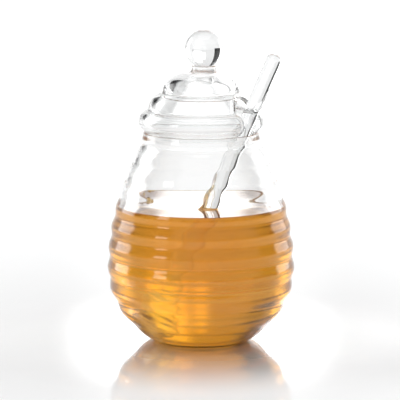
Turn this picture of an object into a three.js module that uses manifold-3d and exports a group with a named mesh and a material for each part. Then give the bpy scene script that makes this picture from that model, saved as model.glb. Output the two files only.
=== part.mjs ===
// Glass beehive honey jar: the ribbed jar, its stepped lid with a ball knob, its glass dipper
// and the honey in it. Millimetres, +Z up. The origin is the centre of the base, on the surface
// that the jar stands on. The front is toward -Y, and the dipper leans out toward +X.
import * as THREE from 'three';
import { mergeVertices } from 'three/addons/utils/BufferGeometryUtils.js';
import Module from 'manifold-3d';

const wasm = await Module();
wasm.setup();

// Fineness of what is turned, and the gap left between pieces that touch
const SEGMENTS = 32;
const DIPPER_SEGMENTS = 12;
const RIB_STEPS = 4;
const SHORTEST_STEP = 0.1;
const ARC_STEPS = 4;
const BALL_STEPS = 9;
const GAP = 0.3;
const MERGE_DISTANCE = 1e-4;

// Jar body: an ellipse below the belly, a power curve from the belly up to a straight neck
const BELLY_RADIUS = 48.2;
const BELLY_HEIGHT = 37.6;
const BELLY_DROP = 43.5;
const NECK_RADIUS = 30.3;
const NECK_HEIGHT = 102.3;
const NECK_FILLET = 1.6;
const SHOULDER_POWER = 2;
const RIM_HEIGHT = 108;
const RIM_RADIUS = 29.5;
const RIM_ROUNDING = 0.55;
const WALL = 2;
const BASE_THICKNESS = 3;

// Ribs round the body, counted down from the neck, each a little taller than the one above
const RIB_TOP = 105.4;
const RIB_PITCH = 8.15;
const RIB_PITCH_GROWTH = 0.47;
const RIB_DEPTH = 1.15;
const NECK_RIB_DEPTH = 0.45;
const RIB_FULLNESS = 0.8;
const INNER_RIB_SHARE = 0.6;

// Honey, and how wide of the dipper it is cut
const HONEY_LEVEL = 69.8;
const ROOM_GAP = 0.4;

// Lid: a collar inside the neck, a rolled flange on the rim, two steps, then neck and ball
const COLLAR_RADIUS = 27.3;
const COLLAR_DEPTH = 2.4;
const FLANGE_FOOT_RADIUS = 28.9;
const FLANGE_CHIN = { radius: 31, height: 110.8 };
const FLANGE_RADIUS = 31.9;
const FLANGE_WIDEST = 113.3;
const LOWER_STEP = { inner: 27.6, top: 118.9 };
const MIDDLE_STEP = { inner: 19.9, outer: 27, top: 127.9, foot: 119.2 };
const UPPER_STEP = { inner: 6.8, outer: 19.6, top: 138.4, foot: 128.5 };
const LID_WALL = 2;
const FLANGE_WALL = 2.8;
const KNOB_RADIUS = 9.7;
const KNOB_CENTRE = 150.6;
const KNOB_COLLAR_RADIUS = 6.2;
const KNOB_COLLAR_TOP = 142.2;
const KNOB_COLLAR_LIP = 0.5;
const KNOB_NECK_FILLET = 1.2;
const KNOB_SEAM_RADIUS = 3.6;
const KNOB_OFFSET = 1.6;
const KNOB_OFFSET_START = 133;
const KNOB_OFFSET_END = 141;

// Notch through the lid's side for the dipper, turned toward the front
const NOTCH_AZIMUTH = -32;
const NOTCH_WIDTH = 14.5;
const NOTCH_TOP = 126.6;
const NOTCH_REACH = 20;

// Dipper: where its axis meets the honey and where it leans on the rim, then its sizes
const DIPPER_ENTRY = new THREE.Vector3(4, -11.4, HONEY_LEVEL);
const DIPPER_LEAN = new THREE.Vector3(20.4, -12.5, RIM_HEIGHT);
const DIPPER_TIP_HEIGHT = 6;
const DIPPER_TOP_HEIGHT = 148.8;
const DIPPER_RADIUS = 3.9;
const HEAD_RADIUS = 10;
const HEAD_LENGTH = 30;
const HEAD_RINGS = 5;
const HEAD_GROOVE = 3.4;
const HEAD_TAPER = 0.08;
const RING_STEPS = 4;
const TOP_ROUNDING = 3.1;

// Finishes
const glass = () => new THREE.MeshStandardMaterial({
  color: 0xeaf0ef, roughness: 0.03, metalness: 0, transparent: true, opacity: 0.35,
});
const honeyFinish = new THREE.MeshStandardMaterial({ color: 0xd0822e, roughness: 0.06, metalness: 0 });

const point = (radius, height) => new THREE.Vector2(radius, height);

// A quarter of an ellipse between two outline points, leaving the first one level or upright
function quarterArc(start, end, leavesLevel, steps = ARC_STEPS) {
  const points = [];
  for (let i = 1; i <= steps; i++) {
    const turn = (i / steps) * Math.PI / 2;
    const across = leavesLevel ? Math.sin(turn) : 1 - Math.cos(turn);
    const along = leavesLevel ? 1 - Math.cos(turn) : Math.sin(turn);
    points.push(point(
      start.x + (end.x - start.x) * across,
      start.y + (end.y - start.y) * along,
    ));
  }
  return points;
}

// Drops the triangles that collapse on the axis, so that the shape is one clean closed surface
function cleanGeometry(geometry) {
  geometry.deleteAttribute('normal');
  geometry.deleteAttribute('uv');
  const merged = mergeVertices(geometry, MERGE_DISTANCE);
  const old = merged.index.array;
  const kept = [];
  for (let i = 0; i < old.length; i += 3) {
    const [a, b, c] = [old[i], old[i + 1], old[i + 2]];
    if (a !== b && b !== c && c !== a) kept.push(a, b, c);
  }
  merged.setIndex(kept);
  return merged;
}

// A closed outline turned about the vertical axis; it runs from the foot of the axis outward and up
function turned(outline, segments = SEGMENTS) {
  const lathe = new THREE.LatheGeometry(outline, segments);
  lathe.rotateX(Math.PI / 2);
  return cleanGeometry(lathe);
}

// The same outline moved sideways along its own normal; a positive distance makes it fatter
function offsetOutline(outline, distance) {
  return outline.map((p, i) => {
    const before = outline[Math.max(i - 1, 0)];
    const after = outline[Math.min(i + 1, outline.length - 1)];
    const normal = point(after.y - before.y, before.x - after.x).normalize();
    const atAxis = p.x < MERGE_DISTANCE;
    const direction = atAxis ? point(0, Math.sign(normal.y)) : normal;
    return point(Math.max(p.x + direction.x * distance, 0), p.y + direction.y * distance);
  });
}

function toSolid(geometry) {
  return new wasm.Manifold(new wasm.Mesh({
    numProp: 3,
    vertProperties: new Float32Array(geometry.attributes.position.array),
    triVerts: new Uint32Array(geometry.index.array),
  }));
}

function toGeometry(solid) {
  const mesh = solid.getMesh();
  const geometry = new THREE.BufferGeometry();
  geometry.setAttribute('position', new THREE.BufferAttribute(mesh.vertProperties, 3));
  geometry.setIndex(new THREE.BufferAttribute(mesh.triVerts, 1));
  return geometry;
}

function cut(geometry, tool) {
  return toGeometry(toSolid(geometry).subtract(toSolid(tool)));
}

function namedMesh(name, geometry, material) {
  geometry.computeVertexNormals();
  const mesh = new THREE.Mesh(geometry, material);
  mesh.name = name;
  return mesh;
}

// Height of a place on the body, counted in ribs down from the crest at the neck
function ribHeight(count) {
  return RIB_TOP - count * (RIB_PITCH + RIB_PITCH_GROWTH * (count - 1) / 2);
}

// The rib count at a height, the inverse of ribHeight
function ribCountAt(height) {
  const half = RIB_PITCH_GROWTH / 2;
  const first = RIB_PITCH - half;
  return (Math.sqrt(first * first + 4 * half * (RIB_TOP - height)) - first) / (2 * half);
}

// How far the surface lies inside the line over the ribs' crests
function ribDip(count, height) {
  const rise = THREE.MathUtils.clamp((height - BELLY_HEIGHT) / (NECK_HEIGHT - BELLY_HEIGHT), 0, 1);
  const depth = THREE.MathUtils.lerp(RIB_DEPTH, NECK_RIB_DEPTH, rise);
  const crest = (0.5 + 0.5 * Math.cos(2 * Math.PI * count)) ** RIB_FULLNESS;
  return depth * (1 - crest);
}

// Radius over the crests, for the outer surface or one that lies inside it
function crestRadius(height, inset, dropInset) {
  const belly = BELLY_RADIUS - inset;
  if (height < BELLY_HEIGHT) {
    const fall = (BELLY_HEIGHT - height) / (BELLY_DROP - dropInset);
    return belly * Math.sqrt(1 - fall * fall);
  }
  const rise = (height - BELLY_HEIGHT) / (NECK_HEIGHT - BELLY_HEIGHT);
  return belly - (BELLY_RADIUS - NECK_RADIUS) * rise ** SHOULDER_POWER;
}

function outerPoint(count) {
  const height = ribHeight(count);
  return point(crestRadius(height, 0, 0) - ribDip(count, height), height);
}

function innerPoint(count) {
  const height = ribHeight(count);
  const dip = INNER_RIB_SHARE * ribDip(count, height);
  return point(crestRadius(height, WALL, BASE_THICKNESS) - dip, height);
}

// The points of a ribbed surface between two heights, from the upper one down
function ribbedOutline(surfacePoint, top, bottom) {
  const first = ribCountAt(top);
  const last = ribCountAt(bottom);
  const points = [surfacePoint(first)];
  for (let step = Math.ceil((first + SHORTEST_STEP) * RIB_STEPS); ; step++) {
    const count = step / RIB_STEPS;
    if (count > last - SHORTEST_STEP) break;
    points.push(surfacePoint(count));
  }
  points.push(surfacePoint(last));
  return points;
}

function makeJar() {
  const outside = ribbedOutline(outerPoint, NECK_HEIGHT, 0).reverse();
  const inside = ribbedOutline(innerPoint, NECK_HEIGHT, BASE_THICKNESS);
  const mouthRadius = NECK_RADIUS - WALL;
  const roundingStart = RIM_HEIGHT - RIM_ROUNDING;
  const outerEdge = point(RIM_RADIUS, roundingStart);
  const innerTop = point(mouthRadius + RIM_ROUNDING, RIM_HEIGHT);
  return turned([
    point(0, 0),
    ...outside,
    point(NECK_RADIUS, NECK_HEIGHT + NECK_FILLET),
    outerEdge,
    ...quarterArc(outerEdge, point(RIM_RADIUS - RIM_ROUNDING, RIM_HEIGHT), false, 2),
    innerTop,
    ...quarterArc(innerTop, point(mouthRadius, roundingStart), true, 2),
    point(mouthRadius, NECK_HEIGHT + NECK_FILLET),
    ...inside,
    point(0, BASE_THICKNESS),
  ]);
}

// The dipper's outline from its tip up its axis: a ringed head, then the plain rod
function dipperOutline() {
  const length = (DIPPER_TOP_HEIGHT - DIPPER_TIP_HEIGHT) / dipperDirection().z;
  const points = [point(0, 0)];
  const steps = HEAD_RINGS * RING_STEPS;
  for (let step = 1; step < steps; step++) {
    const along = step / steps;
    const belly = Math.sqrt(Math.sin(Math.PI * THREE.MathUtils.lerp(HEAD_TAPER, 1 - HEAD_TAPER, along)));
    const groove = 0.5 + 0.5 * Math.cos(2 * Math.PI * HEAD_RINGS * along);
    points.push(point((HEAD_RADIUS - HEAD_GROOVE * groove) * belly, HEAD_LENGTH * along));
  }
  points.push(point(DIPPER_RADIUS, HEAD_LENGTH + 1));
  const shoulder = point(DIPPER_RADIUS, length - TOP_ROUNDING);
  points.push(shoulder, ...quarterArc(shoulder, point(0, length), false));
  return points;
}

function dipperDirection() {
  return DIPPER_LEAN.clone().sub(DIPPER_ENTRY).normalize();
}

// Stands a shape turned about its own axis where the dipper stands
function placeAsDipper(geometry) {
  const direction = dipperDirection();
  const tip = DIPPER_ENTRY.clone().addScaledVector(
    direction,
    (DIPPER_TIP_HEIGHT - DIPPER_ENTRY.z) / direction.z,
  );
  const turn = new THREE.Quaternion().setFromUnitVectors(new THREE.Vector3(0, 0, 1), direction);
  geometry.applyQuaternion(turn);
  geometry.translate(tip.x, tip.y, tip.z);
  return geometry;
}

function makeDipper() {
  return placeAsDipper(turned(dipperOutline(), DIPPER_SEGMENTS));
}

// Fills the jar to its level, clear of the glass all round, with the dipper's room left open
function makeHoney() {
  const wall = ribbedOutline(innerPoint, HONEY_LEVEL, BASE_THICKNESS).reverse();
  const cleared = offsetOutline([point(0, BASE_THICKNESS), ...wall], -GAP);
  const surfaceEdge = cleared[cleared.length - 1].x;
  const outline = [...cleared.slice(0, -1), point(surfaceEdge, HONEY_LEVEL), point(0, HONEY_LEVEL)];
  const room = placeAsDipper(turned(offsetOutline(dipperOutline(), ROOM_GAP), DIPPER_SEGMENTS));
  return cut(turned(outline), room);
}

function lidOutside() {
  const foot = RIM_HEIGHT + GAP;
  const collarFoot = RIM_HEIGHT - COLLAR_DEPTH;
  const flangeFoot = point(FLANGE_FOOT_RADIUS, foot);
  const flangeChin = point(FLANGE_CHIN.radius, FLANGE_CHIN.height);
  const flangeSide = point(FLANGE_RADIUS, FLANGE_WIDEST);
  const middleFoot = point(MIDDLE_STEP.outer, MIDDLE_STEP.foot);
  const upperFoot = point(UPPER_STEP.outer, UPPER_STEP.foot);
  const neckFoot = point(UPPER_STEP.inner, UPPER_STEP.top);
  return [
    point(COLLAR_RADIUS, collarFoot),
    point(COLLAR_RADIUS, foot),
    flangeFoot,
    flangeChin,
    ...quarterArc(flangeChin, flangeSide, true, 2),
    ...quarterArc(flangeSide, point(LOWER_STEP.inner, LOWER_STEP.top), false),
    middleFoot,
    ...quarterArc(middleFoot, point(MIDDLE_STEP.inner, MIDDLE_STEP.top), false),
    upperFoot,
    ...quarterArc(upperFoot, neckFoot, false, ARC_STEPS + 1),
    ...knobOutline(),
  ];
}

// The collar that the ball sits in, and the ball from where they meet up to its top
function knobOutline() {
  const seam = Math.PI - Math.asin(KNOB_SEAM_RADIUS / KNOB_RADIUS);
  const points = [
    point(KNOB_COLLAR_RADIUS, UPPER_STEP.top + KNOB_NECK_FILLET),
    point(KNOB_COLLAR_RADIUS, KNOB_COLLAR_TOP - KNOB_COLLAR_LIP),
    point(KNOB_COLLAR_RADIUS - KNOB_COLLAR_LIP, KNOB_COLLAR_TOP),
  ];
  for (let i = 0; i < BALL_STEPS; i++) {
    const angle = seam * (1 - i / BALL_STEPS);
    points.push(point(KNOB_RADIUS * Math.sin(angle), KNOB_CENTRE + KNOB_RADIUS * Math.cos(angle)));
  }
  points.push(point(0, KNOB_CENTRE + KNOB_RADIUS));
  return points;
}

// The hollow of the lid, from under the crown down to the collar's foot
function lidInside() {
  const crown = point(0, UPPER_STEP.top - LID_WALL);
  const upperFoot = point(UPPER_STEP.outer - LID_WALL, UPPER_STEP.foot - LID_WALL / 2);
  const middleTop = point(MIDDLE_STEP.inner, MIDDLE_STEP.top - LID_WALL);
  const middleFoot = point(MIDDLE_STEP.outer - LID_WALL, MIDDLE_STEP.foot - LID_WALL / 2);
  const flangeTop = point(LOWER_STEP.inner - LID_WALL / 2, LOWER_STEP.top - LID_WALL);
  const flangeSide = point(FLANGE_RADIUS - FLANGE_WALL, FLANGE_WIDEST);
  const collarTop = point(COLLAR_RADIUS - LID_WALL, RIM_HEIGHT + LID_WALL);
  return [
    ...quarterArc(crown, upperFoot, true, ARC_STEPS + 1),
    ...quarterArc(middleTop, middleFoot, true),
    ...quarterArc(flangeTop, flangeSide, true, 2),
    ...quarterArc(flangeSide, collarTop, false, 2),
    point(COLLAR_RADIUS - LID_WALL, RIM_HEIGHT - COLLAR_DEPTH),
    point(COLLAR_RADIUS, RIM_HEIGHT - COLLAR_DEPTH),
  ];
}

// A slot with a round top, standing across the lid's side
function notchTool() {
  const half = NOTCH_WIDTH / 2;
  const depth = BELLY_RADIUS;
  const below = RIM_HEIGHT - COLLAR_DEPTH - half;
  const outline = new THREE.Shape();
  outline.moveTo(-half, below);
  outline.lineTo(half, below);
  outline.lineTo(half, NOTCH_TOP - half);
  outline.absarc(0, NOTCH_TOP - half, half, 0, Math.PI, false);
  const slot = new THREE.ExtrudeGeometry(outline, { depth, bevelEnabled: false, curveSegments: 8 });
  slot.rotateX(Math.PI / 2);
  slot.rotateZ(Math.PI / 2);
  slot.translate(NOTCH_REACH, 0, 0);
  slot.rotateZ(THREE.MathUtils.degToRad(NOTCH_AZIMUTH));
  return cleanGeometry(slot);
}

// The knob was set on a little to one side, so the top of the lid leans over to it
function shiftKnob(geometry) {
  const position = geometry.attributes.position;
  for (let i = 0; i < position.count; i++) {
    const share = THREE.MathUtils.smoothstep(position.getZ(i), KNOB_OFFSET_START, KNOB_OFFSET_END);
    position.setX(i, position.getX(i) + KNOB_OFFSET * share);
  }
  return geometry;
}

function makeLid() {
  const closed = [...lidInside(), ...lidOutside().slice(1)];
  return cut(shiftKnob(turned([point(0, UPPER_STEP.top - LID_WALL), ...closed])), notchTool());
}

const honeyJar = new THREE.Group();
honeyJar.add(namedMesh('jar', makeJar(), glass()));
honeyJar.add(namedMesh('honey', makeHoney(), honeyFinish));
honeyJar.add(namedMesh('dipper', makeDipper(), glass()));
honeyJar.add(namedMesh('lid', makeLid(), glass()));

export default honeyJar;
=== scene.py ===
import math

import bmesh
import bpy
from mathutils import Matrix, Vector, kdtree


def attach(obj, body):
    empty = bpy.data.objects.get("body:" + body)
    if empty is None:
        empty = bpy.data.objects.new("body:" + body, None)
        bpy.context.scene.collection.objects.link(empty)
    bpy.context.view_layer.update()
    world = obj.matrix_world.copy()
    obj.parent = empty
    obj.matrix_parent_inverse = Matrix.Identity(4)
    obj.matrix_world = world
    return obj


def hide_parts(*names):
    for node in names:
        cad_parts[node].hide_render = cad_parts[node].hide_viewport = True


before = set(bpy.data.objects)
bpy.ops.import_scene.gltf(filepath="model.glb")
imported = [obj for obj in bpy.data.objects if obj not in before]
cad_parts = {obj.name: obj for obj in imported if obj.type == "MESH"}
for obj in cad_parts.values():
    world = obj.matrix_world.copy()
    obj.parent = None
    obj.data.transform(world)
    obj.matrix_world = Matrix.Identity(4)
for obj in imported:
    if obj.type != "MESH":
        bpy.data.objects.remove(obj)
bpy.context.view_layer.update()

# Sizes are in millimetres and are turned into metres when a mesh is made
MILLIMETRE = 0.001
JAR_SEGMENTS = 224
LID_SEGMENTS = 176
DIPPER_SEGMENTS = 64
RIB_STEPS = 16
ARC_STEPS = 20
LID_STEP = 0.4
SHARP_ANGLE = 40
LID_SHARP_ANGLE = 50
# A radius under this lies on the axis
ON_AXIS = 1e-6
# A corner that turns by more than the angle is rounded, over this share of its sides at most
ROUNDING = {"angle": 25, "share": 0.45, "steps": 6}
# How far a melt reads along the line, in widths
MELT_REACH = 2.5

# Jar
BELLY_RADIUS = 48.2
BELLY_HEIGHT = 37.6
BELLY_DROP = 43.5
NECK_RADIUS = 30.3
NECK_HEIGHT = 102.3
NECK_FILLET = 1.6
SHOULDER_POWER = 2
RIM_HEIGHT = 108
RIM_RADIUS = 29.5
RIM_ROUNDING = 0.55
RIM_STEPS = 8
WALL = 2
WALL_MIDDLE = 1.55
BASE_THICKNESS = 3
FOOT_ROUNDING = 1.2

# Ribs round the body, counted down from the neck
RIB_TOP = 105.4
RIB_PITCH = 8.15
RIB_PITCH_GROWTH = 0.47
RIB_DEPTH = 1.15
NECK_RIB_DEPTH = 0.45
RIB_FULLNESS = 0.8
INNER_RIB_SHARE = 0.6

# Honey: its level, how far it reaches into the glass that it wets, and how it climbs the wall
HONEY_LEVEL = 69.8
HONEY_OVERLAP = 0.25
WALL_CLIMB = {"height": 0.35, "width": 1, "steepness": 2.5, "steps": 16}
# What lies this close to the wall counts as at it, and this close to a level as at the level
WALL_NEARNESS = 0.6
LEVEL_NEARNESS = 0.01

# Honey that clings to the rod: a ring at its foot and a film up one side. Rise, tops and foot are
# heights above the level, and the film's turn is counted round the rod from its side toward +X.
CLING_RING = {"rise": 1.4, "thickness": 1}
FILM = {
    "turn": 192,
    "half_turn": 38,
    "full_turn": 13.3,
    "full_top": 8.1,
    "top": 13.5,
    "thickness": 0.35,
    "foot_thickness": 1.1,
    "foot": 2.5,
}
CLING_STEPS = 40
CLING_CROWDING = 1.5
CLING_FOOT = -0.3
CLING_DEPTH = 0.15
CLING_WELD = 0.0005
# Small bubbles on the level: place from the middle, radius
BUBBLES = [
    (-27.9, 29.3, 1.2),
    (-26.0, 30.9, 0.8),
    (-30.7, 23.2, 0.5),
    (-31.0, 13.9, 0.45),
    (-25.6, 9.0, 0.4),
    (-23.8, 7.4, 0.4),
]
BUBBLE_FLATNESS = 0.8
BUBBLE_START = -0.35
BUBBLE_RINGS = 8
BUBBLE_SEGMENTS = 20

# Lid
LID_GAP = 0.3
COLLAR_RADIUS = 27.3
COLLAR_DEPTH = 2.4
FLANGE_FOOT_RADIUS = 28.9
FLANGE_CHIN = {"radius": 31, "height": 110.8}
FLANGE_RADIUS = 31.9
FLANGE_WIDEST = 113.3
LOWER_STEP = {"inner": 27.6, "top": 118.9}
MIDDLE_STEP = {"inner": 19.9, "outer": 27, "top": 127.9, "foot": 119.2}
UPPER_STEP = {"inner": 6.8, "outer": 19.6, "top": 138.4, "foot": 128.5}
LID_WALL = 2
FLANGE_WALL = 2.8
OUTER_MELT = 0.8
INNER_MELT = 2.6
LID_ROUNDING = 0.7
KNOB_RADIUS = 9.7
KNOB_CENTRE = 150.6
KNOB_COLLAR_RADIUS = 6.2
KNOB_COLLAR_TOP = 142.2
KNOB_COLLAR_LIP = 0.5
KNOB_NECK_FILLET = 1.2
KNOB_SEAM_RADIUS = 3.6
KNOB_OFFSET = 1.6
KNOB_OFFSET_START = 133
KNOB_OFFSET_END = 141
NOTCH_AZIMUTH = -32
NOTCH_WIDTH = 14.5
NOTCH_TOP = 126.6
NOTCH_REACH = 20
# Polish of the notch: which edges it takes, how far round them it works and how much
POLISH = {"angle": 35, "inner_margin": 1, "side_margin": 0.5, "reach": 1.1, "times": 14, "factor": 0.5}

# Dipper
DIPPER_ENTRY = Vector((4.0, -11.4, HONEY_LEVEL))
DIPPER_LEAN = Vector((20.4, -12.5, RIM_HEIGHT))
DIPPER_TIP_HEIGHT = 6
DIPPER_TOP_HEIGHT = 148.8
DIPPER_RADIUS = 3.9
HEAD_RADIUS = 10
HEAD_LENGTH = 30
HEAD_RINGS = 5
HEAD_GROOVE = 3.4
HEAD_TAPER = 0.08
HEAD_NECK = 1
RING_STEPS = 16
TOP_ROUNDING = 3.1
DIPPER_ROUNDING = 0.8

# Materials: each pair of tints drifts from one to the other
JAR_TINTS = ((0.945, 0.952, 0.952), (0.965, 0.969, 0.969))
LID_TINTS = ((0.915, 0.922, 0.922), (0.935, 0.94, 0.94))
HONEY_TINTS = ((0.98, 0.76, 0.36), (1.0, 0.84, 0.44))
THIN_HONEY_TINTS = ((0.97, 0.86, 0.6), (0.99, 0.92, 0.7))
FLOOR_TINTS = ((0.9, 0.903, 0.906), (0.93, 0.93, 0.93))
CARD_TINTS = ((0.015, 0.015, 0.016), (0.03, 0.03, 0.031))
DRIFT_SCALES = {"jar": 12, "dipper": 20, "lid": 16, "honey": 30, "thin_honey": 60, "floor": 3, "card": 40}
GLASS_WAVES = {"strength": 0.15, "distance": 0.0004}
GLASS_IOR = 1.5
HONEY_IOR = 1.49
HONEY_ABSORPTION = {"Color": (0.97, 0.815, 0.14, 1), "Density": 60}
# The honey's roughness and cloudy share at the wall, and the gloss of its level surface
HONEY_HAZE = 0.19
HONEY_CLOUD = 0.13
HONEY_SKIN = 1

# Camera: the photograph's viewing angle, as a height and a distance in metres, and the framing
CAMERA_DISTANCE = 1.240
CAMERA_HEIGHT = 0.273
AIM_HEIGHT = 0.0717
SENSOR_WIDTH = 36
FOCAL_LENGTH = 220
FOCAL_PIXELS = 2445
AIM_RIGHT_PIXELS = 1.0
AIM_DOWN_PIXELS = 1.7

# Studio: round the object, azimuth 0 is behind it and is counted toward +X, in degrees.
# Each light has azimuths, elevations, strength and edge softness.
STUDIO_LIGHTS = {
    "backdrop": {"azimuth": (-24, 25), "elevation": (-90, 57), "strength": 0.87, "soft": 1.5},
    "behind": {"azimuth": (6, 26), "elevation": (1, 30), "strength": 1.5, "soft": 4},
    "behind_middle": {"azimuth": (-2.6, 2.6), "elevation": (3, 18), "strength": 1.4, "soft": 1},
    "gap_fill": {"azimuth": (-48, -24), "elevation": (-90, 30), "strength": 0.75, "soft": 2},
    "right_box": {"azimuth": (27, 72), "elevation": (-90, 57), "strength": 1, "soft": 2},
    "right_low": {"azimuth": (40, 72), "elevation": (-90, 20), "strength": 2, "soft": 4},
    "left_box": {"azimuth": (-78, -48), "elevation": (-15, 57), "strength": 1.1, "soft": 2},
    "left_low": {"azimuth": (-78, -48), "elevation": (-15, 34), "strength": 3.2, "soft": 5},
    "ceiling": {"azimuth": (-190, 190), "elevation": (60, 91), "strength": 1.8, "soft": 1},
    "front": {"azimuth": (100, 190), "elevation": (8, 57), "strength": 0.5, "soft": 6},
    "front_left": {"azimuth": (-190, -140), "elevation": (8, 57), "strength": 0.5, "soft": 6},
    "small_front": {"azimuth": (-136, -119), "elevation": (6, 20), "strength": 4.5, "soft": 1.5},
}
AMBIENT = 0.05
# A dark card behind on the left gives the glass its dark edges; distance and heights in metres
CARD = {"distance": 0.3, "azimuth": (-46, -22), "bottom": 0.12, "top": 0.6, "steps": 24}
# The floor in metres, with its mirrored share and its glow near its middle and far from it
FLOOR_RADIUS = 2.7
FLOOR_SEGMENTS = 128
FLOOR_ROUGHNESS = 0.6
FLOOR_POLISH = 0.08
FLOOR_MIRROR = {"near": 0.05, "far": 0.13, "near_value": 0.95, "far_value": 0.1}
FLOOR_GLOW = {"near": 0.08, "far": 0.4, "near_value": 0, "far_value": 0.14}
LIGHT_BOUNCES = 32

WHITE = (1, 1, 1, 1)


def lerp(a, b, share):
    return a + (b - a) * share


def clamp(value, low, high):
    return max(low, min(high, value))


def smoothstep(value, low, high):
    share = clamp((value - low) / (high - low), 0, 1)
    return share * share * (3 - 2 * share)


# Outlines: lists of (radius, height), from the foot of the axis outward and up
def quarter_arc(start, end, leaves_level, steps=ARC_STEPS):
    points = []
    for i in range(1, steps + 1):
        turn = i / steps * math.pi / 2
        across = math.sin(turn) if leaves_level else 1 - math.cos(turn)
        along = 1 - math.cos(turn) if leaves_level else math.sin(turn)
        points.append((lerp(start[0], end[0], across), lerp(start[1], end[1], along)))
    return points


def rounded(outline, radius):
    """The outline with each real corner turned into a small curve."""
    result = [outline[0]]
    for before, corner, after in zip(outline, outline[1:], outline[2:]):
        p = Vector(before)
        q = Vector(corner)
        r = Vector(after)
        if (q - p).angle(r - q) < math.radians(ROUNDING["angle"]):
            result.append(corner)
            continue
        reach_in = min(radius, (q - p).length * ROUNDING["share"])
        reach_out = min(radius, (r - q).length * ROUNDING["share"])
        start = q + (p - q).normalized() * reach_in
        end = q + (r - q).normalized() * reach_out
        for i in range(ROUNDING["steps"] + 1):
            t = i / ROUNDING["steps"]
            bend = start * (1 - t) ** 2 + q * 2 * t * (1 - t) + end * t ** 2
            result.append(tuple(bend))
    result.append(outline[-1])
    return result


def evenly_spaced(outline, step):
    """The same line with points a step apart."""
    result = [outline[0]]
    for start, end in zip(outline, outline[1:]):
        length = math.dist(start, end)
        pieces = max(1, round(length / step))
        for i in range(1, pieces + 1):
            result.append((lerp(start[0], end[0], i / pieces), lerp(start[1], end[1], i / pieces)))
    return result


def melted(outline, width, step=LID_STEP):
    """The line with its corners melted over the width, as hot glass does; its ends stay."""
    line = evenly_spaced(outline, step)
    furthest = math.ceil(MELT_REACH * width / step)
    result = []
    for i in range(len(line)):
        reach = min(furthest, i, len(line) - 1 - i)
        radius = height = total = 0
        for j in range(-reach, reach + 1):
            weight = math.exp(-0.5 * (j * step / width) ** 2)
            radius += weight * line[i + j][0]
            height += weight * line[i + j][1]
            total += weight
        result.append((radius / total, height / total))
    return result


def offset_outline(outline, distance):
    """The outline moved along its own normal; a positive distance makes the shape fatter."""
    result = []
    for i, (radius, height) in enumerate(outline):
        before = outline[max(i - 1, 0)]
        after = outline[min(i + 1, len(outline) - 1)]
        normal = Vector((after[1] - before[1], before[0] - after[0])).normalized()
        if radius < ON_AXIS:
            normal = Vector((0, math.copysign(1, normal.y)))
        result.append((max(radius + normal.x * distance, 0), height + normal.y * distance))
    return result


def add_object(name, data):
    obj = bpy.data.objects.new(name, data)
    bpy.context.scene.collection.objects.link(obj)
    return obj


def add_mesh_object(name, bm):
    """The bmesh as an object of the scene."""
    mesh = bpy.data.meshes.new(name)
    bm.to_mesh(mesh)
    bm.free()
    return add_object(name, mesh)


def turned(name, outline, segments):
    """A closed outline turned about the vertical axis, in millimetres."""
    bm = bmesh.new()
    rings = []
    for radius, height in outline:
        if radius < ON_AXIS:
            rings.append([bm.verts.new((0, 0, height))])
            continue
        ring = []
        for s in range(segments):
            angle = 2 * math.pi * s / segments
            ring.append(bm.verts.new((radius * math.cos(angle), radius * math.sin(angle), height)))
        rings.append(ring)
    for lower, upper in zip(rings, rings[1:]):
        for s in range(segments):
            after = (s + 1) % segments
            if len(lower) == 1 and len(upper) == 1:
                continue
            if len(lower) == 1:
                bm.faces.new((lower[0], upper[after], upper[s]))
            elif len(upper) == 1:
                bm.faces.new((lower[s], lower[after], upper[0]))
            else:
                bm.faces.new((lower[s], lower[after], upper[after], upper[s]))
    return add_mesh_object(name, bm)


def to_metres(obj):
    for vertex in obj.data.vertices:
        vertex.co *= MILLIMETRE
    obj.data.update()


def shade(obj, angle):
    """Smooth shading, apart from edges sharper than the angle."""
    obj.data.shade_smooth()
    obj.data.set_sharp_from_angle(angle=math.radians(angle))


def cut(obj, tool):
    """Takes the tool's shape out of the object, and removes the tool."""
    boolean = obj.modifiers.new("cut", "BOOLEAN")
    boolean.operation = "DIFFERENCE"
    boolean.solver = "MANIFOLD"
    boolean.object = tool
    apply_modifiers(obj)
    bpy.data.objects.remove(tool)


def apply_modifiers(obj):
    graph = bpy.context.evaluated_depsgraph_get()
    finished = bpy.data.meshes.new_from_object(obj.evaluated_get(graph))
    obj.modifiers.clear()
    obj.data = finished


def mark(obj, name, test):
    """Keeps 1 on the vertices whose place passes the test and 0 on the others, for the material."""
    layer = obj.data.attributes.new(name, "FLOAT", "POINT")
    for vertex, value in zip(obj.data.vertices, layer.data):
        value.value = float(test(vertex.co))


# Jar
def rib_height(count):
    """Height of a place on the body, counted in ribs down from the crest at the neck."""
    return RIB_TOP - count * (RIB_PITCH + RIB_PITCH_GROWTH * (count - 1) / 2)


def rib_count_at(height):
    half = RIB_PITCH_GROWTH / 2
    first = RIB_PITCH - half
    return (math.sqrt(first * first + 4 * half * (RIB_TOP - height)) - first) / (2 * half)


def rib_dip(count, height):
    """How far the surface lies inside the line over the ribs' crests."""
    rise = clamp((height - BELLY_HEIGHT) / (NECK_HEIGHT - BELLY_HEIGHT), 0, 1)
    depth = lerp(RIB_DEPTH, NECK_RIB_DEPTH, rise)
    crest = (0.5 + 0.5 * math.cos(2 * math.pi * count)) ** RIB_FULLNESS
    return depth * (1 - crest)


def crest_radius(height, inset, drop_inset):
    belly = BELLY_RADIUS - inset
    if height < BELLY_HEIGHT:
        fall = (BELLY_HEIGHT - height) / (BELLY_DROP - drop_inset)
        return belly * math.sqrt(1 - fall * fall)
    rise = (height - BELLY_HEIGHT) / (NECK_HEIGHT - BELLY_HEIGHT)
    return belly - (BELLY_RADIUS - NECK_RADIUS) * rise ** SHOULDER_POWER


def outer_point(count):
    height = rib_height(count)
    return (crest_radius(height, 0, 0) - rib_dip(count, height), height)


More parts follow.
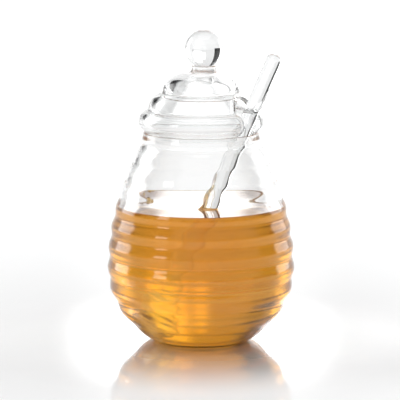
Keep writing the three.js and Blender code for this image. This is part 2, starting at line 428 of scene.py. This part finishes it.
def inner_point(count):
    height = rib_height(count)
    dip = INNER_RIB_SHARE * rib_dip(count, height)
    return (crest_radius(height, WALL, BASE_THICKNESS) - dip, height)


def ribbed_outline(surface_point, top, bottom):
    """The points of a ribbed surface between two heights, from the lower one up."""
    first = rib_count_at(top)
    last = rib_count_at(bottom)
    steps = math.ceil((last - first) * RIB_STEPS)
    return [surface_point(lerp(last, first, i / steps)) for i in range(steps + 1)]


def jar_outline():
    outside = ribbed_outline(outer_point, NECK_HEIGHT, 0)
    inside = ribbed_outline(inner_point, NECK_HEIGHT, BASE_THICKNESS)
    mouth = NECK_RADIUS - WALL
    start = RIM_HEIGHT - RIM_ROUNDING
    outer_edge = (RIM_RADIUS, start)
    top = (RIM_RADIUS - RIM_ROUNDING, RIM_HEIGHT)
    inner_top = (mouth + RIM_ROUNDING, RIM_HEIGHT)
    return [
        (0, 0),
        *outside,
        (NECK_RADIUS, NECK_HEIGHT + NECK_FILLET),
        outer_edge,
        *quarter_arc(outer_edge, top, False, RIM_STEPS),
        inner_top,
        *quarter_arc(inner_top, (mouth, start), True, RIM_STEPS),
        (mouth, NECK_HEIGHT + NECK_FILLET),
        *reversed(inside),
        (0, BASE_THICKNESS),
    ]


def is_wetted_inside(place):
    between = crest_radius(clamp(place.z, 0, HONEY_LEVEL), 0, 0) - WALL_MIDDLE
    return BASE_THICKNESS - LEVEL_NEARNESS < place.z < HONEY_LEVEL and place.xy.length < between


def make_jar():
    jar = turned("jar_glass_body", rounded(jar_outline(), FOOT_ROUNDING), JAR_SEGMENTS)
    mark(jar, "wetted", is_wetted_inside)
    return jar


# Dipper
def dipper_direction():
    return (DIPPER_LEAN - DIPPER_ENTRY).normalized()


def dipper_outline():
    length = (DIPPER_TOP_HEIGHT - DIPPER_TIP_HEIGHT) / dipper_direction().z
    points = [(0, 0)]
    steps = HEAD_RINGS * RING_STEPS
    for step in range(1, steps):
        along = step / steps
        belly = math.sqrt(math.sin(math.pi * lerp(HEAD_TAPER, 1 - HEAD_TAPER, along)))
        groove = 0.5 + 0.5 * math.cos(2 * math.pi * HEAD_RINGS * along)
        points.append(((HEAD_RADIUS - HEAD_GROOVE * groove) * belly, HEAD_LENGTH * along))
    shoulder = (DIPPER_RADIUS, length - TOP_ROUNDING)
    points += [(DIPPER_RADIUS, HEAD_LENGTH + HEAD_NECK), shoulder]
    points += quarter_arc(shoulder, (0, length), False)
    return rounded(points, DIPPER_ROUNDING)


def place_as_dipper(obj):
    direction = dipper_direction()
    tip = DIPPER_ENTRY + direction * ((DIPPER_TIP_HEIGHT - DIPPER_ENTRY.z) / direction.z)
    turn = Vector((0, 0, 1)).rotation_difference(direction)
    for vertex in obj.data.vertices:
        vertex.co = turn @ vertex.co + tip
    obj.data.update()
    return obj


def make_dipper():
    dipper = place_as_dipper(turned("glass_dipper", dipper_outline(), DIPPER_SEGMENTS))
    mark(dipper, "wetted", is_under_honey)
    return dipper


# Honey
def is_under_honey(place):
    return place.z < HONEY_LEVEL - LEVEL_NEARNESS


def is_at_wall(place):
    inside = crest_radius(clamp(place.z, BASE_THICKNESS, HONEY_LEVEL), WALL, BASE_THICKNESS)
    at_side = place.xy.length > inside - WALL_NEARNESS or place.z < BASE_THICKNESS
    return at_side and is_under_honey(place)


def is_at_rod(place):
    return is_under_honey(place) and not is_at_wall(place)


def honey_outline():
    """The honey up to its level, a little into the glass, with its edge drawn up the wall."""
    wall = ribbed_outline(inner_point, HONEY_LEVEL + WALL_CLIMB["height"], BASE_THICKNESS)
    outline = offset_outline([(0, BASE_THICKNESS), *wall], HONEY_OVERLAP)
    top_radius = wall[-1][0]
    for i in range(WALL_CLIMB["steps"] + 1):
        share = i / WALL_CLIMB["steps"]
        climb = WALL_CLIMB["height"] * (1 - share) ** WALL_CLIMB["steepness"]
        outline.append((top_radius - WALL_CLIMB["width"] * share, HONEY_LEVEL + climb))
    outline.append((0, HONEY_LEVEL))
    return outline


def make_honey():
    """The honey, with the dipper's room cut out of it."""
    honey = turned("honey_fill", honey_outline(), JAR_SEGMENTS)
    room_outline = offset_outline(dipper_outline(), -HONEY_OVERLAP)
    cut(honey, place_as_dipper(turned("room", room_outline, DIPPER_SEGMENTS)))
    mark(honey, "wall", is_at_wall)
    mark(honey, "wetted", is_under_honey)
    mark(honey, "rod", is_at_rod)
    return honey


def ring_thickness(_, rise):
    """The ring at the rod's foot, the same all round, at a height above the level."""
    return CLING_RING["thickness"] * clamp(1 - rise / CLING_RING["rise"], 0, 1) ** 2


def film_thickness(turn, rise):
    """The film up the rod's side, at a turn round the rod and a height above the level."""
    apart = abs(math.degrees(turn) - FILM["turn"])
    across = 1 - smoothstep(apart, FILM["full_turn"], FILM["half_turn"])
    along = 1 - smoothstep(rise, FILM["full_top"], FILM["top"])
    foot = FILM["foot_thickness"] * math.exp(-((rise / FILM["foot"]) ** 2))
    return across * along * (FILM["thickness"] + foot)


def add_layer(bm, turns, top, thickness):
    """A closed layer of honey on the rod, over some turns in degrees, from its foot to the top."""
    direction = dipper_direction()
    side = Vector((direction.z, 0, -direction.x)).normalized()
    other = direction.cross(side)
    outer_rows = []
    inner_rows = []
    for i in range(CLING_STEPS + 1):
        rise = lerp(CLING_FOOT, top, (i / CLING_STEPS) ** CLING_CROWDING)
        outer = []
        inner = []
        for s in range(DIPPER_SEGMENTS + 1):
            turn = math.radians(lerp(*turns, s / DIPPER_SEGMENTS))
            outward = side * math.cos(turn) + other * math.sin(turn)
            foot = DIPPER_ENTRY + outward * DIPPER_RADIUS
            foot += direction * ((HONEY_LEVEL + rise - foot.z) / direction.z)
            outer.append(bm.verts.new(foot + outward * thickness(turn, max(rise, 0))))
            inner.append(bm.verts.new(foot - outward * CLING_DEPTH))
        outer_rows.append(outer)
        inner_rows.append(inner)
    loop = [*outer_rows, *reversed(inner_rows)]
    for lower, upper in zip(loop, [*loop[1:], loop[0]]):
        for s in range(DIPPER_SEGMENTS):
            bm.faces.new((lower[s], lower[s + 1], upper[s + 1], upper[s]))
    for end in (0, -1):
        for i in range(CLING_STEPS):
            outer_side = (outer_rows[i][end], outer_rows[i + 1][end])
            inner_side = (inner_rows[i + 1][end], inner_rows[i][end])
            bm.faces.new((*outer_side, *inner_side))


def make_cling():
    """The honey that stays on the rod: a ring at its foot and a film up its side."""
    bm = bmesh.new()
    add_layer(bm, (0, 360), CLING_RING["rise"], ring_thickness)
    half = FILM["half_turn"]
    add_layer(bm, (FILM["turn"] - half, FILM["turn"] + half), FILM["top"], film_thickness)
    bmesh.ops.remove_doubles(bm, verts=bm.verts, dist=CLING_WELD)
    bmesh.ops.recalc_face_normals(bm, faces=bm.faces)
    return add_mesh_object("honey_on_rod", bm)


def make_bubbles():
    """Small domes on the level, each with its foot a little under it."""
    bm = bmesh.new()
    for x, y, radius in BUBBLES:
        rings = []
        for i in range(BUBBLE_RINGS):
            angle = lerp(BUBBLE_START, 1, i / BUBBLE_RINGS) * math.pi / 2
            height = HONEY_LEVEL + radius * BUBBLE_FLATNESS * math.sin(angle)
            reach = radius * math.cos(angle)
            ring = []
            for s in range(BUBBLE_SEGMENTS):
                turn = 2 * math.pi * s / BUBBLE_SEGMENTS
                ring.append(bm.verts.new((x + reach * math.cos(turn), y + reach * math.sin(turn), height)))
            rings.append(ring)
        top = bm.verts.new((x, y, HONEY_LEVEL + radius * BUBBLE_FLATNESS))
        for s in range(BUBBLE_SEGMENTS):
            after = (s + 1) % BUBBLE_SEGMENTS
            for lower, upper in zip(rings, rings[1:]):
                bm.faces.new((lower[s], lower[after], upper[after], upper[s]))
            bm.faces.new((rings[-1][s], rings[-1][after], top))
        bm.faces.new(list(reversed(rings[0])))
    return add_mesh_object("honey_bubbles", bm)


# Lid
def lid_outside():
    """The collar, the rolled flange, the steps and the knob, from the foot up."""
    foot = RIM_HEIGHT + LID_GAP
    flange_foot = (FLANGE_FOOT_RADIUS, foot)
    flange_chin = (FLANGE_CHIN["radius"], FLANGE_CHIN["height"])
    flange_side = (FLANGE_RADIUS, FLANGE_WIDEST)
    middle_foot = (MIDDLE_STEP["outer"], MIDDLE_STEP["foot"])
    upper_foot = (UPPER_STEP["outer"], UPPER_STEP["foot"])
    steps = [
        flange_foot,
        flange_chin,
        *quarter_arc(flange_chin, flange_side, True),
        *quarter_arc(flange_side, (LOWER_STEP["inner"], LOWER_STEP["top"]), False),
        middle_foot,
        *quarter_arc(middle_foot, (MIDDLE_STEP["inner"], MIDDLE_STEP["top"]), False),
        upper_foot,
        *quarter_arc(upper_foot, (UPPER_STEP["inner"], UPPER_STEP["top"]), False),
        (KNOB_COLLAR_RADIUS, UPPER_STEP["top"] + KNOB_NECK_FILLET),
        (KNOB_COLLAR_RADIUS, KNOB_COLLAR_TOP - KNOB_COLLAR_LIP),
    ]
    return [
        (COLLAR_RADIUS, RIM_HEIGHT - COLLAR_DEPTH),
        (COLLAR_RADIUS, foot),
        *melted(steps, OUTER_MELT),
        *knob_outline(),
    ]


def knob_outline():
    """The collar's lip and the ball, up to the top."""
    seam = math.pi - math.asin(KNOB_SEAM_RADIUS / KNOB_RADIUS)
    steps = 3 * ARC_STEPS
    points = [(KNOB_COLLAR_RADIUS - KNOB_COLLAR_LIP, KNOB_COLLAR_TOP)]
    for i in range(steps):
        angle = seam * (1 - i / steps)
        points.append((KNOB_RADIUS * math.sin(angle), KNOB_CENTRE + KNOB_RADIUS * math.cos(angle)))
    points.append((0, KNOB_CENTRE + KNOB_RADIUS))
    return points


def lid_inside():
    """The hollow from the crown down to the collar's foot."""
    crown = (0, UPPER_STEP["top"] - LID_WALL)
    upper_foot = (UPPER_STEP["outer"] - LID_WALL, UPPER_STEP["foot"] - LID_WALL / 2)
    middle_top = (MIDDLE_STEP["inner"], MIDDLE_STEP["top"] - LID_WALL)
    middle_foot = (MIDDLE_STEP["outer"] - LID_WALL, MIDDLE_STEP["foot"] - LID_WALL / 2)
    flange_top = (LOWER_STEP["inner"] - LID_WALL / 2, LOWER_STEP["top"] - LID_WALL)
    flange_side = (FLANGE_RADIUS - FLANGE_WALL, FLANGE_WIDEST)
    collar_top = (COLLAR_RADIUS - LID_WALL, RIM_HEIGHT + LID_WALL)
    hollow = [
        crown,
        *quarter_arc(crown, upper_foot, True),
        *quarter_arc(middle_top, middle_foot, True),
        *quarter_arc(flange_top, flange_side, True),
        *quarter_arc(flange_side, collar_top, False),
        (COLLAR_RADIUS - LID_WALL, RIM_HEIGHT - COLLAR_DEPTH),
    ]
    return [*melted(hollow, INNER_MELT), (COLLAR_RADIUS, RIM_HEIGHT - COLLAR_DEPTH)]


def shift_knob(obj):
    """Leans the lid's neck over, because the knob was set on a little to one side."""
    for vertex in obj.data.vertices:
        vertex.co.x += KNOB_OFFSET * smoothstep(vertex.co.z, KNOB_OFFSET_START, KNOB_OFFSET_END)


def notch_direction():
    turn = math.radians(NOTCH_AZIMUTH)
    return Vector((math.cos(turn), math.sin(turn), 0))


def notch_tool():
    """What the notch takes out: an upright slot with a round top, from inside the lid outward."""
    half = NOTCH_WIDTH / 2
    below = RIM_HEIGHT - COLLAR_DEPTH - half
    round_centre = NOTCH_TOP - half
    outline = [(-half, below), (half, below)]
    steps = 2 * ARC_STEPS
    for i in range(steps + 1):
        angle = math.pi * i / steps
        outline.append((half * math.cos(angle), round_centre + half * math.sin(angle)))
    outline = evenly_spaced([*outline, outline[0]], LID_STEP)[:-1]
    bm = bmesh.new()
    outward = notch_direction()
    sideways = Vector((-outward.y, outward.x, 0))
    layers = math.ceil((BELLY_RADIUS - NOTCH_REACH) / LID_STEP)
    rings = []
    for layer in range(layers + 1):
        place = outward * lerp(NOTCH_REACH, BELLY_RADIUS, layer / layers)
        rings.append([bm.verts.new(place + sideways * x + Vector((0, 0, z))) for x, z in outline])
    count = len(outline)
    for inner, outer in zip(rings, rings[1:]):
        for i in range(count):
            after = (i + 1) % count
            bm.faces.new((inner[i], inner[after], outer[after], outer[i]))
    bm.faces.new(list(reversed(rings[0])))
    bm.faces.new(rings[-1])
    bmesh.ops.recalc_face_normals(bm, faces=bm.faces)
    return add_mesh_object("notch", bm)


def polish_notch(obj):
    """Rounds the edges of the notch over, as a flame does."""
    bm = bmesh.new()
    bm.from_mesh(obj.data)
    bmesh.ops.triangulate(bm, faces=bm.faces)
    outward = notch_direction()
    inner_end = NOTCH_REACH - POLISH["inner_margin"]
    side_end = NOTCH_WIDTH / 2 + POLISH["side_margin"]
    sharp = set()
    for edge in bm.edges:
        if edge.calc_face_angle(0) > math.radians(POLISH["angle"]):
            middle = (edge.verts[0].co + edge.verts[1].co) / 2
            across = (middle - outward * middle.dot(outward)).xy.length
            if middle.dot(outward) > inner_end and across < side_end:
                sharp.update(edge.verts)
    tree = kdtree.KDTree(len(sharp))
    for i, vertex in enumerate(sharp):
        tree.insert(vertex.co, i)
    tree.balance()
    near = [v for v in bm.verts if tree.find(v.co)[2] < POLISH["reach"]]
    all_ways = {"use_axis_x": True, "use_axis_y": True, "use_axis_z": True}
    for _ in range(POLISH["times"]):
        bmesh.ops.smooth_vert(bm, verts=near, factor=POLISH["factor"], **all_ways)
    bm.to_mesh(obj.data)
    bm.free()


def make_lid():
    outline = rounded([*lid_inside(), *lid_outside()[1:]], LID_ROUNDING)
    lid = turned("glass_lid", outline, LID_SEGMENTS)
    shift_knob(lid)
    cut(lid, notch_tool())
    polish_notch(lid)
    return lid


# Materials
def new_material(name):
    material = bpy.data.materials.new(name)
    material.use_nodes = True
    return material, material.node_tree.nodes, material.node_tree.links


def noise(nodes, links, scale, detail=2):
    coordinates = nodes.new("ShaderNodeTexCoord")
    texture = nodes.new("ShaderNodeTexNoise")
    texture.inputs["Scale"].default_value = scale
    texture.inputs["Detail"].default_value = detail
    links.new(coordinates.outputs["Object"], texture.inputs["Vector"])
    return texture


def colour_between(nodes, links, source, tints):
    ramp = nodes.new("ShaderNodeValToRGB")
    for element, tint in zip(ramp.color_ramp.elements, tints):
        element.color = (*tint, 1)
    links.new(source, ramp.inputs["Fac"])
    return ramp.outputs["Color"]


def drifting_colour(nodes, links, scale, tints):
    return colour_between(nodes, links, noise(nodes, links, scale).outputs["Fac"], tints)


def read_mark(nodes, name):
    attribute = nodes.new("ShaderNodeAttribute")
    attribute.attribute_name = name
    return attribute.outputs["Fac"]


def value_by_mark(nodes, links, mark_name, without, with_mark, target):
    """Gives the socket one value where the mesh carries the mark and another where it doesn't."""
    change = nodes.new("ShaderNodeMapRange")
    change.inputs["To Min"].default_value = without
    change.inputs["To Max"].default_value = with_mark
    links.new(read_mark(nodes, mark_name), change.inputs["Value"])
    links.new(change.outputs["Result"], target)


def white_by_mark(nodes, links, mark_name, tint, target):
    """Gives the socket the tint, and white where the mesh carries the mark."""
    change = nodes.new("ShaderNodeMixRGB")
    change.inputs["Color2"].default_value = WHITE
    links.new(read_mark(nodes, mark_name), change.inputs["Fac"])
    links.new(tint, change.inputs["Color1"])
    links.new(change.outputs["Color"], target)


def glass_material(name, scale, tints, touches_honey):
    material, nodes, links = new_material(name)
    shader = nodes["Principled BSDF"]
    shader.inputs["Transmission Weight"].default_value = 1
    shader.inputs["Roughness"].default_value = 0
    shader.inputs["IOR"].default_value = GLASS_IOR
    waves = noise(nodes, links, scale, 1).outputs["Fac"]
    links.new(colour_between(nodes, links, waves, tints), shader.inputs["Base Color"])
    bump = nodes.new("ShaderNodeBump")
    bump.inputs["Strength"].default_value = GLASS_WAVES["strength"]
    bump.inputs["Distance"].default_value = GLASS_WAVES["distance"]
    links.new(waves, bump.inputs["Height"])
    links.new(bump.outputs["Normal"], shader.inputs["Normal"])
    # Where honey wets the glass, the face between them sends hardly any light back
    if touches_honey:
        value_by_mark(nodes, links, "wetted", 1, 0, shader.inputs["Specular Tint"])
    return material


def honey_material():
    material, nodes, links = new_material("honey")
    shader = nodes["Principled BSDF"]
    shader.inputs["IOR"].default_value = HONEY_IOR
    # Against glass the honey sends nothing back, and through the wall it looks a little cloudy
    value_by_mark(nodes, links, "wall", 0, HONEY_HAZE, shader.inputs["Roughness"])
    value_by_mark(nodes, links, "wall", 1, 1 - HONEY_CLOUD, shader.inputs["Transmission Weight"])
    value_by_mark(nodes, links, "wetted", 1, 0, shader.inputs["Specular Tint"])
    # The level surface has a glossy skin
    shader.inputs["Coat Roughness"].default_value = 0
    value_by_mark(nodes, links, "wetted", HONEY_SKIN, 0, shader.inputs["Coat Weight"])
    tint = drifting_colour(nodes, links, DRIFT_SCALES["honey"], HONEY_TINTS)
    white_by_mark(nodes, links, "rod", tint, shader.inputs["Base Color"])
    absorption = nodes.new("ShaderNodeVolumeAbsorption")
    for name, value in HONEY_ABSORPTION.items():
        absorption.inputs[name].default_value = value
    links.new(absorption.outputs["Volume"], nodes["Material Output"].inputs["Volume"])
    return material


def by_distance(nodes, links, near, far, near_value, far_value):
    """A value that changes with the distance from the middle of the floor."""
    coordinates = nodes.new("ShaderNodeTexCoord")
    distance = nodes.new("ShaderNodeVectorMath")
    distance.operation = "LENGTH"
    links.new(coordinates.outputs["Object"], distance.inputs[0])
    change = nodes.new("ShaderNodeMapRange")
    change.interpolation_type = "SMOOTHSTEP"
    change.inputs["From Min"].default_value = near
    change.inputs["From Max"].default_value = far
    change.inputs["To Min"].default_value = near_value
    change.inputs["To Max"].default_value = far_value
    links.new(distance.outputs["Value"], change.inputs["Value"])
    return change.outputs["Result"]


def thin_honey_material():
    """Honey in a thin layer, which is paler."""
    material, nodes, links = new_material("honey_thin")
    shader = nodes["Principled BSDF"]
    shader.inputs["IOR"].default_value = HONEY_IOR
    shader.inputs["Roughness"].default_value = 0
    shader.inputs["Transmission Weight"].default_value = 1
    tint = drifting_colour(nodes, links, DRIFT_SCALES["thin_honey"], THIN_HONEY_TINTS)
    links.new(tint, shader.inputs["Base Color"])
    return material


def floor_material():
    material, nodes, links = new_material("floor")
    shader = nodes["Principled BSDF"]
    shader.inputs["Roughness"].default_value = FLOOR_ROUGHNESS
    shader.inputs["Specular IOR Level"].default_value = 0
    tint = drifting_colour(nodes, links, DRIFT_SCALES["floor"], FLOOR_TINTS)
    links.new(tint, shader.inputs["Base Color"])
    shader.inputs["Emission Color"].default_value = WHITE
    links.new(by_distance(nodes, links, **FLOOR_GLOW), shader.inputs["Emission Strength"])
    polish = nodes.new("ShaderNodeBsdfGlossy")
    polish.inputs["Roughness"].default_value = FLOOR_POLISH
    polish.inputs["Color"].default_value = WHITE
    share = by_distance(nodes, links, **FLOOR_MIRROR)
    # Seen from higher up the floor mirrors less
    facing = nodes.new("ShaderNodeLayerWeight")
    mirrored = nodes.new("ShaderNodeMath")
    mirrored.operation = "MULTIPLY"
    links.new(share, mirrored.inputs[0])
    links.new(facing.outputs["Facing"], mirrored.inputs[1])
    both = nodes.new("ShaderNodeMixShader")
    links.new(mirrored.outputs[0], both.inputs["Fac"])
    links.new(shader.outputs["BSDF"], both.inputs[1])
    links.new(polish.outputs["BSDF"], both.inputs[2])
    links.new(both.outputs["Shader"], nodes["Material Output"].inputs["Surface"])
    return material


def card_material():
    material, nodes, links = new_material("card")
    shader = nodes["Principled BSDF"]
    shader.inputs["Roughness"].default_value = 1
    shader.inputs["Specular IOR Level"].default_value = 0
    tint = drifting_colour(nodes, links, DRIFT_SCALES["card"], CARD_TINTS)
    links.new(tint, shader.inputs["Base Color"])
    return material


# Studio
def make_world():
    """Soft white windows by direction, added up."""
    world = bpy.data.worlds.new("studio")
    world.use_nodes = True
    bpy.context.scene.world = world
    nodes = world.node_tree.nodes
    links = world.node_tree.links

    def calculate(operation, *values):
        node = nodes.new("ShaderNodeMath")
        node.operation = operation
        for socket, value in zip(node.inputs, values):
            if isinstance(value, (int, float)):
                socket.default_value = value
            else:
                links.new(value, socket)
        return node.outputs[0]

    def edge(angle, place, softness, rises):
        node = nodes.new("ShaderNodeMapRange")
        node.interpolation_type = "SMOOTHSTEP"
        node.inputs["From Min"].default_value = math.radians(place - softness)
        node.inputs["From Max"].default_value = math.radians(place + softness)
        node.inputs["To Min"].default_value = 0 if rises else 1
        node.inputs["To Max"].default_value = 1 if rises else 0
        links.new(angle, node.inputs["Value"])
        return node.outputs["Result"]

    def between(angle, places, softness):
        low, high = places
        return calculate("MULTIPLY", edge(angle, low, softness, True), edge(angle, high, softness, False))

    coordinates = nodes.new("ShaderNodeTexCoord")
    direction = nodes.new("ShaderNodeSeparateXYZ")
    links.new(coordinates.outputs["Generated"], direction.inputs[0])
    azimuth = calculate("ARCTAN2", direction.outputs["X"], direction.outputs["Y"])
    elevation = calculate("ARCSINE", direction.outputs["Z"])
    total = AMBIENT
    for light in STUDIO_LIGHTS.values():
        window = calculate(
            "MULTIPLY",
            between(azimuth, light["azimuth"], light["soft"]),
            between(elevation, light["elevation"], light["soft"]),
        )
        total = calculate("MULTIPLY_ADD", window, light["strength"], total)
    # The camera itself sees plain white
    shown = nodes.new("ShaderNodeMix")
    path = nodes.new("ShaderNodeLightPath")
    links.new(path.outputs["Is Camera Ray"], shown.inputs["Factor"])
    links.new(total, shown.inputs["A"])
    shown.inputs["B"].default_value = 1
    links.new(shown.outputs["Result"], nodes["Background"].inputs["Strength"])
    nodes["Background"].inputs["Color"].default_value = WHITE


def make_floor():
    bm = bmesh.new()
    bmesh.ops.create_circle(bm, cap_ends=True, radius=FLOOR_RADIUS, segments=FLOOR_SEGMENTS)
    floor = add_mesh_object("floor", bm)
    floor.data.materials.append(floor_material())


def make_card():
    bm = bmesh.new()
    rows = []
    for height in (CARD["bottom"], CARD["top"]):
        row = []
        for i in range(CARD["steps"] + 1):
            angle = math.radians(lerp(*CARD["azimuth"], i / CARD["steps"]))
            place = (CARD["distance"] * math.sin(angle), CARD["distance"] * math.cos(angle), height)
            row.append(bm.verts.new(place))
        rows.append(row)
    lower, upper = rows
    for i in range(CARD["steps"]):
        bm.faces.new((lower[i], lower[i + 1], upper[i + 1], upper[i]))
    card = add_mesh_object("card", bm)
    card.data.materials.append(card_material())
    # It shows in the glass and the mirroring floor, and takes no light from the floor
    card.visible_camera = False
    card.visible_diffuse = False
    card.visible_shadow = False


def make_camera():
    camera = bpy.data.cameras.new("camera")
    camera.lens = FOCAL_LENGTH
    camera.sensor_width = SENSOR_WIDTH
    obj = add_object("camera", camera)
    obj.location = (0, -CAMERA_DISTANCE, CAMERA_HEIGHT)
    tilt = math.atan2(CAMERA_HEIGHT - AIM_HEIGHT, CAMERA_DISTANCE) - AIM_DOWN_PIXELS / FOCAL_PIXELS
    turn = AIM_RIGHT_PIXELS / FOCAL_PIXELS
    obj.rotation_euler = (math.pi / 2 - tilt, 0, turn)
    bpy.context.scene.camera = obj


def finish_piece(obj, material, node=None, sharp_angle=SHARP_ANGLE):
    to_metres(obj)
    shade(obj, sharp_angle)
    obj.data.materials.clear()
    obj.data.materials.append(material)
    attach(obj, "root")
    if node:
        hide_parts(node)


bpy.context.scene.view_settings.view_transform = "Standard"
# Light that runs on inside thick glass needs more than the usual number of bounces
bpy.context.scene.cycles.max_bounces = LIGHT_BOUNCES
bpy.context.scene.cycles.transmission_bounces = LIGHT_BOUNCES
bpy.context.scene.cycles.glossy_bounces = LIGHT_BOUNCES
make_world()
make_floor()
make_card()
make_camera()

jar_glass = glass_material("jar_glass", DRIFT_SCALES["jar"], JAR_TINTS, True)
dipper_glass = glass_material("dipper_glass", DRIFT_SCALES["dipper"], LID_TINTS, True)
lid_glass = glass_material("lid_glass", DRIFT_SCALES["lid"], LID_TINTS, False)
thin_honey = thin_honey_material()
finish_piece(make_jar(), jar_glass, "jar")
finish_piece(make_honey(), honey_material(), "honey")
finish_piece(make_dipper(), dipper_glass, "dipper")
finish_piece(make_lid(), lid_glass, "lid", LID_SHARP_ANGLE)
finish_piece(make_cling(), thin_honey)
finish_piece(make_bubbles(), thin_honey)
